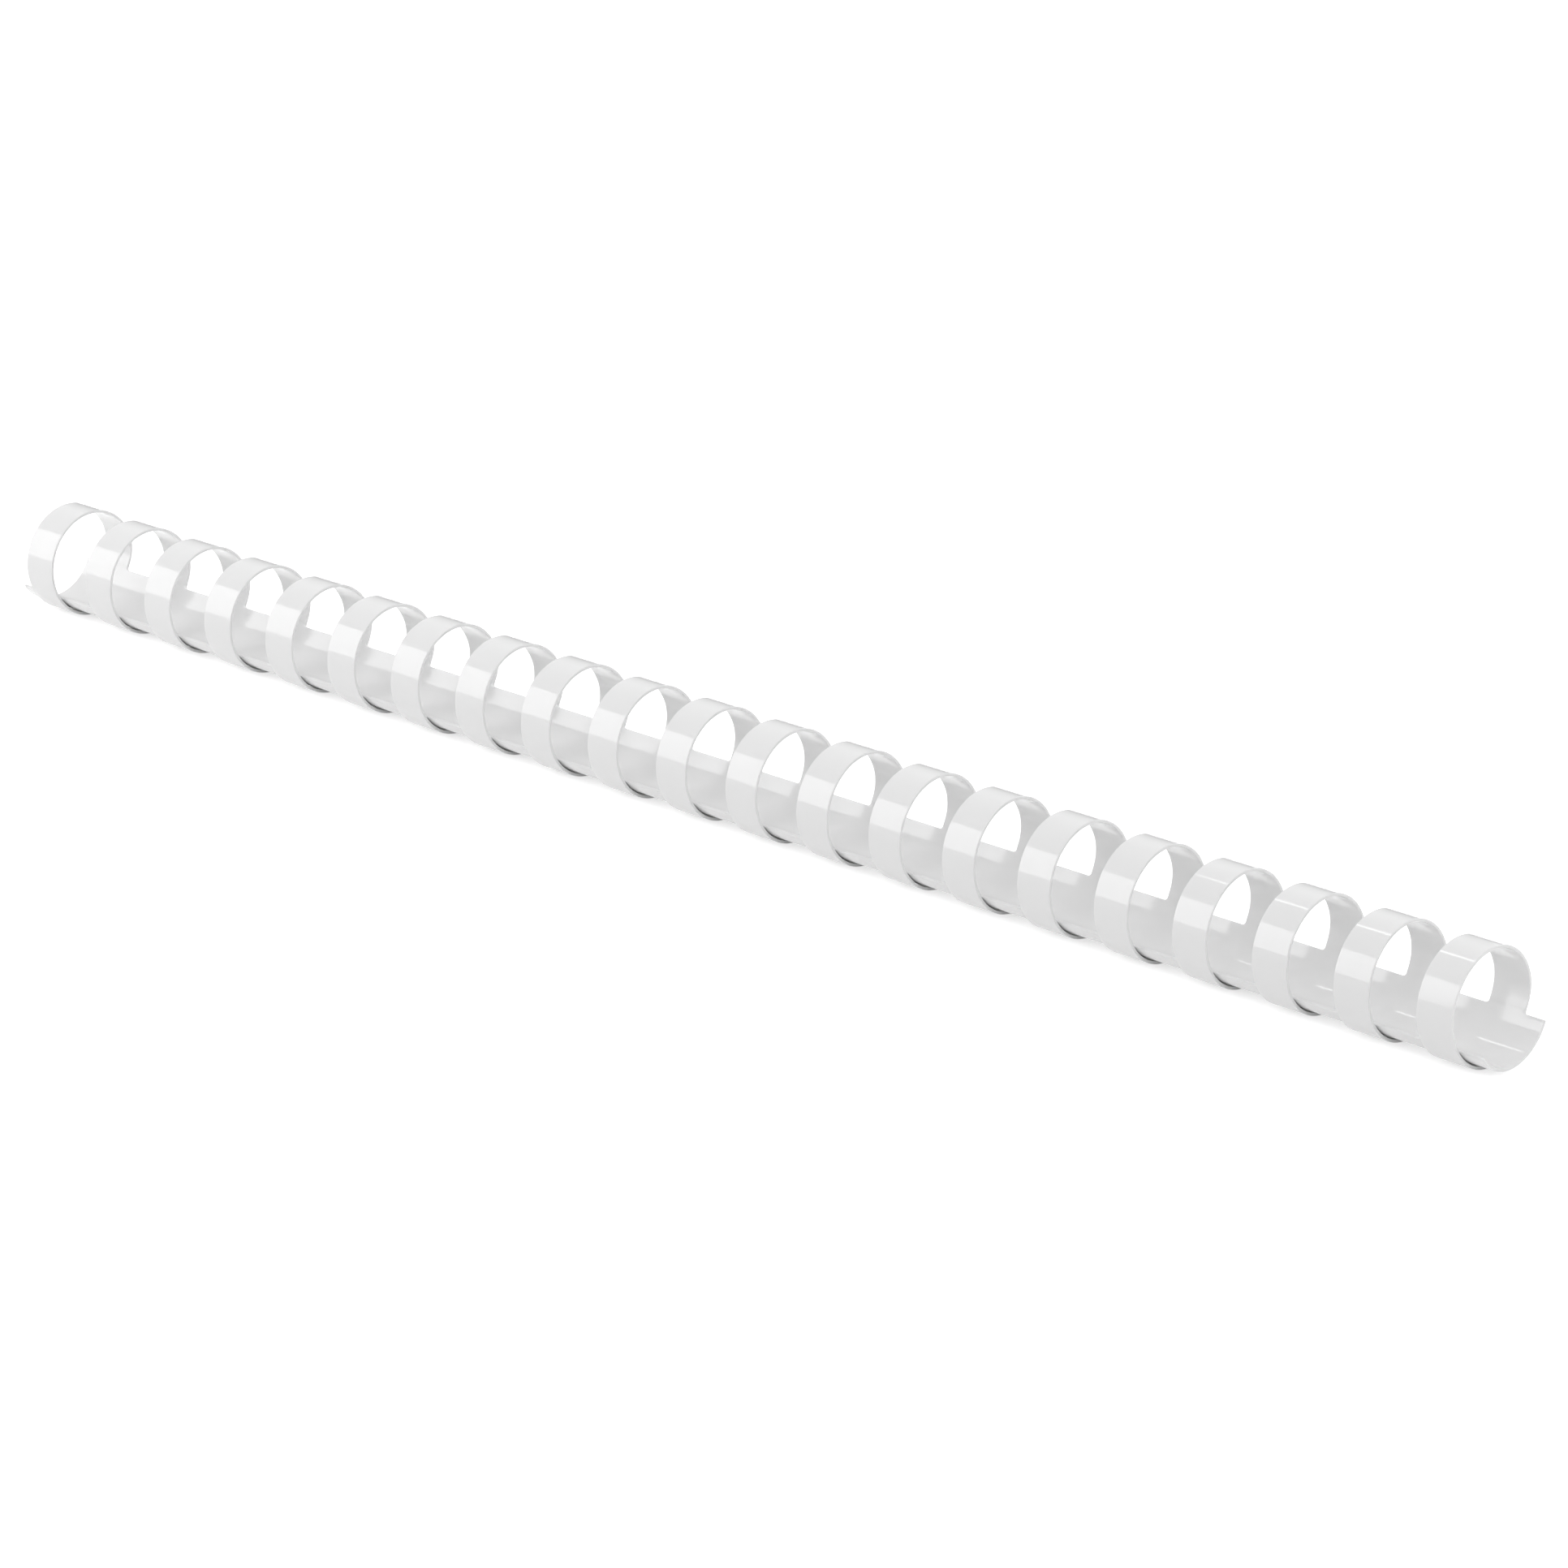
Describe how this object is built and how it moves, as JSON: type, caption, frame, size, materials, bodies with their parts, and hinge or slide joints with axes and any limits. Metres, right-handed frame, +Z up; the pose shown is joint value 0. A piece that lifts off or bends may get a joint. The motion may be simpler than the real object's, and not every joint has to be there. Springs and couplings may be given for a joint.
{
  "type": "plastic binding comb",
  "caption": "White plastic binding comb: a curved spine strip with a row of curled ring fingers that open together to take punched sheets and spring shut.",
  "frame": {"origin": "middle of the footprint, on the surface that the comb lies on", "axes": "+X along the comb, +Y to the back, where the fingers leave the spine, +Z up"},
  "size_m": [0.2988, 0.0172, 0.0173],
  "materials": {
    "comb_plastic": "smooth glossy white PVC sheet"
  },
  "bodies": {
    "spine": {"spine": "comb_plastic"},
    "ring_01_base": {"ring_01_base": "comb_plastic"},
    "ring_01_tip": {"ring_01_tip": "comb_plastic"},
    "ring_02_base": {"ring_02_base": "comb_plastic"},
    "ring_02_tip": {"ring_02_tip": "comb_plastic"},
    "ring_03_base": {"ring_03_base": "comb_plastic"},
    "ring_03_tip": {"ring_03_tip": "comb_plastic"},
    "ring_04_base": {"ring_04_base": "comb_plastic"},
    "ring_04_tip": {"ring_04_tip": "comb_plastic"},
    "ring_05_base": {"ring_05_base": "comb_plastic"},
    "ring_05_tip": {"ring_05_tip": "comb_plastic"},
    "ring_06_base": {"ring_06_base": "comb_plastic"},
    "ring_06_tip": {"ring_06_tip": "comb_plastic"},
    "ring_07_base": {"ring_07_base": "comb_plastic"},
    "ring_07_tip": {"ring_07_tip": "comb_plastic"},
    "ring_08_base": {"ring_08_base": "comb_plastic"},
    "ring_08_tip": {"ring_08_tip": "comb_plastic"},
    "ring_09_base": {"ring_09_base": "comb_plastic"},
    "ring_09_tip": {"ring_09_tip": "comb_plastic"},
    "ring_10_base": {"ring_10_base": "comb_plastic"},
    "ring_10_tip": {"ring_10_tip": "comb_plastic"},
    "ring_11_base": {"ring_11_base": "comb_plastic"},
    "ring_11_tip": {"ring_11_tip": "comb_plastic"},
    "ring_12_base": {"ring_12_base": "comb_plastic"},
    "ring_12_tip": {"ring_12_tip": "comb_plastic"},
    "ring_13_base": {"ring_13_base": "comb_plastic"},
    "ring_13_tip": {"ring_13_tip": "comb_plastic"},
    "ring_14_base": {"ring_14_base": "comb_plastic"},
    "ring_14_tip": {"ring_14_tip": "comb_plastic"},
    "ring_15_base": {"ring_15_base": "comb_plastic"},
    "ring_15_tip": {"ring_15_tip": "comb_plastic"},
    "ring_16_base": {"ring_16_base": "comb_plastic"},
    "ring_16_tip": {"ring_16_tip": "comb_plastic"},
    "ring_17_base": {"ring_17_base": "comb_plastic"},
    "ring_17_tip": {"ring_17_tip": "comb_plastic"},
    "ring_18_base": {"ring_18_base": "comb_plastic"},
    "ring_18_tip": {"ring_18_tip": "comb_plastic"},
    "ring_19_base": {"ring_19_base": "comb_plastic"},
    "ring_19_tip": {"ring_19_tip": "comb_plastic"},
    "ring_20_base": {"ring_20_base": "comb_plastic"},
    "ring_20_tip": {"ring_20_tip": "comb_plastic"},
    "ring_21_base": {"ring_21_base": "comb_plastic"},
    "ring_21_tip": {"ring_21_tip": "comb_plastic"}
  },
  "joints": [
    {"name": "ring_01_root", "type": "hinge", "parent": "spine", "child": "ring_01_base", "pos_m": [-0.14288, 0.00778, 0.00634], "axis": [-1, 0, 0], "range_deg": [0, 40], "stiffness_Nm_per_rad": 0.008},
    {"name": "ring_01_knee", "type": "hinge", "parent": "ring_01_base", "child": "ring_01_tip", "pos_m": [-0.14288, -0.00793, 0.0119], "axis": [-1, 0, 0], "range_deg": [0, 60], "stiffness_Nm_per_rad": 0.004},
    {"name": "ring_02_root", "type": "hinge", "parent": "spine", "child": "ring_02_base", "pos_m": [-0.12859, 0.00778, 0.00634], "axis": [-1, 0, 0], "range_deg": [0, 40], "stiffness_Nm_per_rad": 0.008},
    {"name": "ring_02_knee", "type": "hinge", "parent": "ring_02_base", "child": "ring_02_tip", "pos_m": [-0.12859, -0.00793, 0.0119], "axis": [-1, 0, 0], "range_deg": [0, 60], "stiffness_Nm_per_rad": 0.004},
    {"name": "ring_03_root", "type": "hinge", "parent": "spine", "child": "ring_03_base", "pos_m": [-0.1143, 0.00778, 0.00634], "axis": [-1, 0, 0], "range_deg": [0, 40], "stiffness_Nm_per_rad": 0.008},
    {"name": "ring_03_knee", "type": "hinge", "parent": "ring_03_base", "child": "ring_03_tip", "pos_m": [-0.1143, -0.00793, 0.0119], "axis": [-1, 0, 0], "range_deg": [0, 60], "stiffness_Nm_per_rad": 0.004},
    {"name": "ring_04_root", "type": "hinge", "parent": "spine", "child": "ring_04_base", "pos_m": [-0.10001, 0.00778, 0.00634], "axis": [-1, 0, 0], "range_deg": [0, 40], "stiffness_Nm_per_rad": 0.008},
    {"name": "ring_04_knee", "type": "hinge", "parent": "ring_04_base", "child": "ring_04_tip", "pos_m": [-0.10001, -0.00793, 0.0119], "axis": [-1, 0, 0], "range_deg": [0, 60], "stiffness_Nm_per_rad": 0.004},
    {"name": "ring_05_root", "type": "hinge", "parent": "spine", "child": "ring_05_base", "pos_m": [-0.08572, 0.00778, 0.00634], "axis": [-1, 0, 0], "range_deg": [0, 40], "stiffness_Nm_per_rad": 0.008},
    {"name": "ring_05_knee", "type": "hinge", "parent": "ring_05_base", "child": "ring_05_tip", "pos_m": [-0.08572, -0.00793, 0.0119], "axis": [-1, 0, 0], "range_deg": [0, 60], "stiffness_Nm_per_rad": 0.004},
    {"name": "ring_06_root", "type": "hinge", "parent": "spine", "child": "ring_06_base", "pos_m": [-0.07144, 0.00778, 0.00634], "axis": [-1, 0, 0], "range_deg": [0, 40], "stiffness_Nm_per_rad": 0.008},
    {"name": "ring_06_knee", "type": "hinge", "parent": "ring_06_base", "child": "ring_06_tip", "pos_m": [-0.07144, -0.00793, 0.0119], "axis": [-1, 0, 0], "range_deg": [0, 60], "stiffness_Nm_per_rad": 0.004},
    {"name": "ring_07_root", "type": "hinge", "parent": "spine", "child": "ring_07_base", "pos_m": [-0.05715, 0.00778, 0.00634], "axis": [-1, 0, 0], "range_deg": [0, 40], "stiffness_Nm_per_rad": 0.008},
    {"name": "ring_07_knee", "type": "hinge", "parent": "ring_07_base", "child": "ring_07_tip", "pos_m": [-0.05715, -0.00793, 0.0119], "axis": [-1, 0, 0], "range_deg": [0, 60], "stiffness_Nm_per_rad": 0.004},
    {"name": "ring_08_root", "type": "hinge", "parent": "spine", "child": "ring_08_base", "pos_m": [-0.04286, 0.00778, 0.00634], "axis": [-1, 0, 0], "range_deg": [0, 40], "stiffness_Nm_per_rad": 0.008},
    {"name": "ring_08_knee", "type": "hinge", "parent": "ring_08_base", "child": "ring_08_tip", "pos_m": [-0.04286, -0.00793, 0.0119], "axis": [-1, 0, 0], "range_deg": [0, 60], "stiffness_Nm_per_rad": 0.004},
    {"name": "ring_09_root", "type": "hinge", "parent": "spine", "child": "ring_09_base", "pos_m": [-0.02857, 0.00778, 0.00634], "axis": [-1, 0, 0], "range_deg": [0, 40], "stiffness_Nm_per_rad": 0.008},
    {"name": "ring_09_knee", "type": "hinge", "parent": "ring_09_base", "child": "ring_09_tip", "pos_m": [-0.02857, -0.00793, 0.0119], "axis": [-1, 0, 0], "range_deg": [0, 60], "stiffness_Nm_per_rad": 0.004},
    {"name": "ring_10_root", "type": "hinge", "parent": "spine", "child": "ring_10_base", "pos_m": [-0.01429, 0.00778, 0.00634], "axis": [-1, 0, 0], "range_deg": [0, 40], "stiffness_Nm_per_rad": 0.008},
    {"name": "ring_10_knee", "type": "hinge", "parent": "ring_10_base", "child": "ring_10_tip", "pos_m": [-0.01429, -0.00793, 0.0119], "axis": [-1, 0, 0], "range_deg": [0, 60], "stiffness_Nm_per_rad": 0.004},
    {"name": "ring_11_root", "type": "hinge", "parent": "spine", "child": "ring_11_base", "pos_m": [0, 0.00778, 0.00634], "axis": [-1, 0, 0], "range_deg": [0, 40], "stiffness_Nm_per_rad": 0.008},
    {"name": "ring_11_knee", "type": "hinge", "parent": "ring_11_base", "child": "ring_11_tip", "pos_m": [0, -0.00793, 0.0119], "axis": [-1, 0, 0], "range_deg": [0, 60], "stiffness_Nm_per_rad": 0.004},
    {"name": "ring_12_root", "type": "hinge", "parent": "spine", "child": "ring_12_base", "pos_m": [0.01429, 0.00778, 0.00634], "axis": [-1, 0, 0], "range_deg": [0, 40], "stiffness_Nm_per_rad": 0.008},
    {"name": "ring_12_knee", "type": "hinge", "parent": "ring_12_base", "child": "ring_12_tip", "pos_m": [0.01429, -0.00793, 0.0119], "axis": [-1, 0, 0], "range_deg": [0, 60], "stiffness_Nm_per_rad": 0.004},
    {"name": "ring_13_root", "type": "hinge", "parent": "spine", "child": "ring_13_base", "pos_m": [0.02857, 0.00778, 0.00634], "axis": [-1, 0, 0], "range_deg": [0, 40], "stiffness_Nm_per_rad": 0.008},
    {"name": "ring_13_knee", "type": "hinge", "parent": "ring_13_base", "child": "ring_13_tip", "pos_m": [0.02857, -0.00793, 0.0119], "axis": [-1, 0, 0], "range_deg": [0, 60], "stiffness_Nm_per_rad": 0.004},
    {"name": "ring_14_root", "type": "hinge", "parent": "spine", "child": "ring_14_base", "pos_m": [0.04286, 0.00778, 0.00634], "axis": [-1, 0, 0], "range_deg": [0, 40], "stiffness_Nm_per_rad": 0.008},
    {"name": "ring_14_knee", "type": "hinge", "parent": "ring_14_base", "child": "ring_14_tip", "pos_m": [0.04286, -0.00793, 0.0119], "axis": [-1, 0, 0], "range_deg": [0, 60], "stiffness_Nm_per_rad": 0.004},
    {"name": "ring_15_root", "type": "hinge", "parent": "spine", "child": "ring_15_base", "pos_m": [0.05715, 0.00778, 0.00634], "axis": [-1, 0, 0], "range_deg": [0, 40], "stiffness_Nm_per_rad": 0.008},
    {"name": "ring_15_knee", "type": "hinge", "parent": "ring_15_base", "child": "ring_15_tip", "pos_m": [0.05715, -0.00793, 0.0119], "axis": [-1, 0, 0], "range_deg": [0, 60], "stiffness_Nm_per_rad": 0.004},
    {"name": "ring_16_root", "type": "hinge", "parent": "spine", "child": "ring_16_base", "pos_m": [0.07144, 0.00778, 0.00634], "axis": [-1, 0, 0], "range_deg": [0, 40], "stiffness_Nm_per_rad": 0.008},
    {"name": "ring_16_knee", "type": "hinge", "parent": "ring_16_base", "child": "ring_16_tip", "pos_m": [0.07144, -0.00793, 0.0119], "axis": [-1, 0, 0], "range_deg": [0, 60], "stiffness_Nm_per_rad": 0.004},
    {"name": "ring_17_root", "type": "hinge", "parent": "spine", "child": "ring_17_base", "pos_m": [0.08572, 0.00778, 0.00634], "axis": [-1, 0, 0], "range_deg": [0, 40], "stiffness_Nm_per_rad": 0.008},
    {"name": "ring_17_knee", "type": "hinge", "parent": "ring_17_base", "child": "ring_17_tip", "pos_m": [0.08572, -0.00793, 0.0119], "axis": [-1, 0, 0], "range_deg": [0, 60], "stiffness_Nm_per_rad": 0.004},
    {"name": "ring_18_root", "type": "hinge", "parent": "spine", "child": "ring_18_base", "pos_m": [0.10001, 0.00778, 0.00634], "axis": [-1, 0, 0], "range_deg": [0, 40], "stiffness_Nm_per_rad": 0.008},
    {"name": "ring_18_knee", "type": "hinge", "parent": "ring_18_base", "child": "ring_18_tip", "pos_m": [0.10001, -0.00793, 0.0119], "axis": [-1, 0, 0], "range_deg": [0, 60], "stiffness_Nm_per_rad": 0.004},
    {"name": "ring_19_root", "type": "hinge", "parent": "spine", "child": "ring_19_base", "pos_m": [0.1143, 0.00778, 0.00634], "axis": [-1, 0, 0], "range_deg": [0, 40], "stiffness_Nm_per_rad": 0.008},
    {"name": "ring_19_knee", "type": "hinge", "parent": "ring_19_base", "child": "ring_19_tip", "pos_m": [0.1143, -0.00793, 0.0119], "axis": [-1, 0, 0], "range_deg": [0, 60], "stiffness_Nm_per_rad": 0.004},
    {"name": "ring_20_root", "type": "hinge", "parent": "spine", "child": "ring_20_base", "pos_m": [0.12859, 0.00778, 0.00634], "axis": [-1, 0, 0], "range_deg": [0, 40], "stiffness_Nm_per_rad": 0.008},
    {"name": "ring_20_knee", "type": "hinge", "parent": "ring_20_base", "child": "ring_20_tip", "pos_m": [0.12859, -0.00793, 0.0119], "axis": [-1, 0, 0], "range_deg": [0, 60], "stiffness_Nm_per_rad": 0.004},
    {"name": "ring_21_root", "type": "hinge", "parent": "spine", "child": "ring_21_base", "pos_m": [0.14288, 0.00778, 0.00634], "axis": [-1, 0, 0], "range_deg": [0, 40], "stiffness_Nm_per_rad": 0.008},
    {"name": "ring_21_knee", "type": "hinge", "parent": "ring_21_base", "child": "ring_21_tip", "pos_m": [0.14288, -0.00793, 0.0119], "axis": [-1, 0, 0], "range_deg": [0, 60], "stiffness_Nm_per_rad": 0.004}
  ],
  "couplings": [
    {"joint": "ring_01_knee", "follows": "ring_01_root", "ratio": 1.5},
    {"joint": "ring_02_knee", "follows": "ring_02_root", "ratio": 1.5},
    {"joint": "ring_03_knee", "follows": "ring_03_root", "ratio": 1.5},
    {"joint": "ring_04_knee", "follows": "ring_04_root", "ratio": 1.5},
    {"joint": "ring_05_knee", "follows": "ring_05_root", "ratio": 1.5},
    {"joint": "ring_06_knee", "follows": "ring_06_root", "ratio": 1.5},
    {"joint": "ring_07_knee", "follows": "ring_07_root", "ratio": 1.5},
    {"joint": "ring_08_knee", "follows": "ring_08_root", "ratio": 1.5},
    {"joint": "ring_09_knee", "follows": "ring_09_root", "ratio": 1.5},
    {"joint": "ring_10_knee", "follows": "ring_10_root", "ratio": 1.5},
    {"joint": "ring_11_knee", "follows": "ring_11_root", "ratio": 1.5},
    {"joint": "ring_12_knee", "follows": "ring_12_root", "ratio": 1.5},
    {"joint": "ring_13_knee", "follows": "ring_13_root", "ratio": 1.5},
    {"joint": "ring_14_knee", "follows": "ring_14_root", "ratio": 1.5},
    {"joint": "ring_15_knee", "follows": "ring_15_root", "ratio": 1.5},
    {"joint": "ring_16_knee", "follows": "ring_16_root", "ratio": 1.5},
    {"joint": "ring_17_knee", "follows": "ring_17_root", "ratio": 1.5},
    {"joint": "ring_18_knee", "follows": "ring_18_root", "ratio": 1.5},
    {"joint": "ring_19_knee", "follows": "ring_19_root", "ratio": 1.5},
    {"joint": "ring_20_knee", "follows": "ring_20_root", "ratio": 1.5},
    {"joint": "ring_21_knee", "follows": "ring_21_root", "ratio": 1.5}
  ]
}
